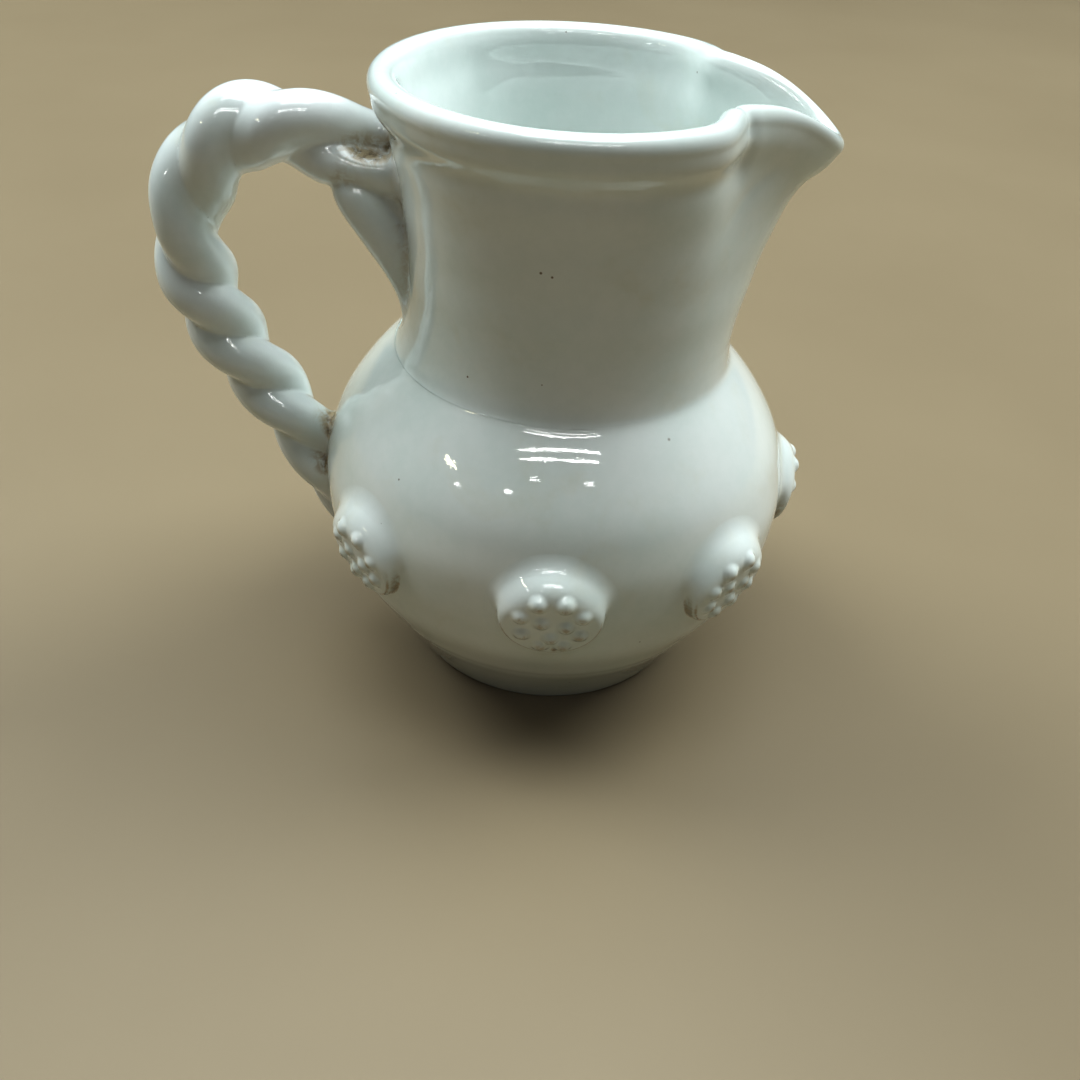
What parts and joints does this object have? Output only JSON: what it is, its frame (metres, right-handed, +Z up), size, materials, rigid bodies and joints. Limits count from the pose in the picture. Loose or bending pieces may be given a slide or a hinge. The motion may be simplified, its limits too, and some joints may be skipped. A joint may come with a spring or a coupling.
{
  "type": "small pitcher",
  "caption": "Small glazed ceramic pitcher: round belly with raised bumpy medallions, flared neck, pinched spout and a twisted rope handle.",
  "frame": {"origin": "centre of the flat face the foot stands on", "axes": "+X towards the pouring spout, handle at -X, +Z up along the body's axis"},
  "size_m": [0.1275, 0.1009, 0.1171],
  "materials": {
    "foot_glaze": "glossy",
    "belly_glaze": "glossy",
    "neck_glaze": "glossy",
    "handle_glaze": "glossy",
    "medallion_glaze": "glossy"
  },
  "bodies": {
    "root": {"foot": "foot_glaze", "belly": "belly_glaze", "neck": "neck_glaze", "handle_coil_a": "handle_glaze", "handle_coil_b": "handle_glaze", "handle_tail": "handle_glaze", "medallion_1": "medallion_glaze", "medallion_2": "medallion_glaze", "medallion_3": "medallion_glaze", "medallion_4": "medallion_glaze", "medallion_5": "medallion_glaze", "medallion_6": "medallion_glaze", "medallion_7": "medallion_glaze"}
  },
  "joints": []
}
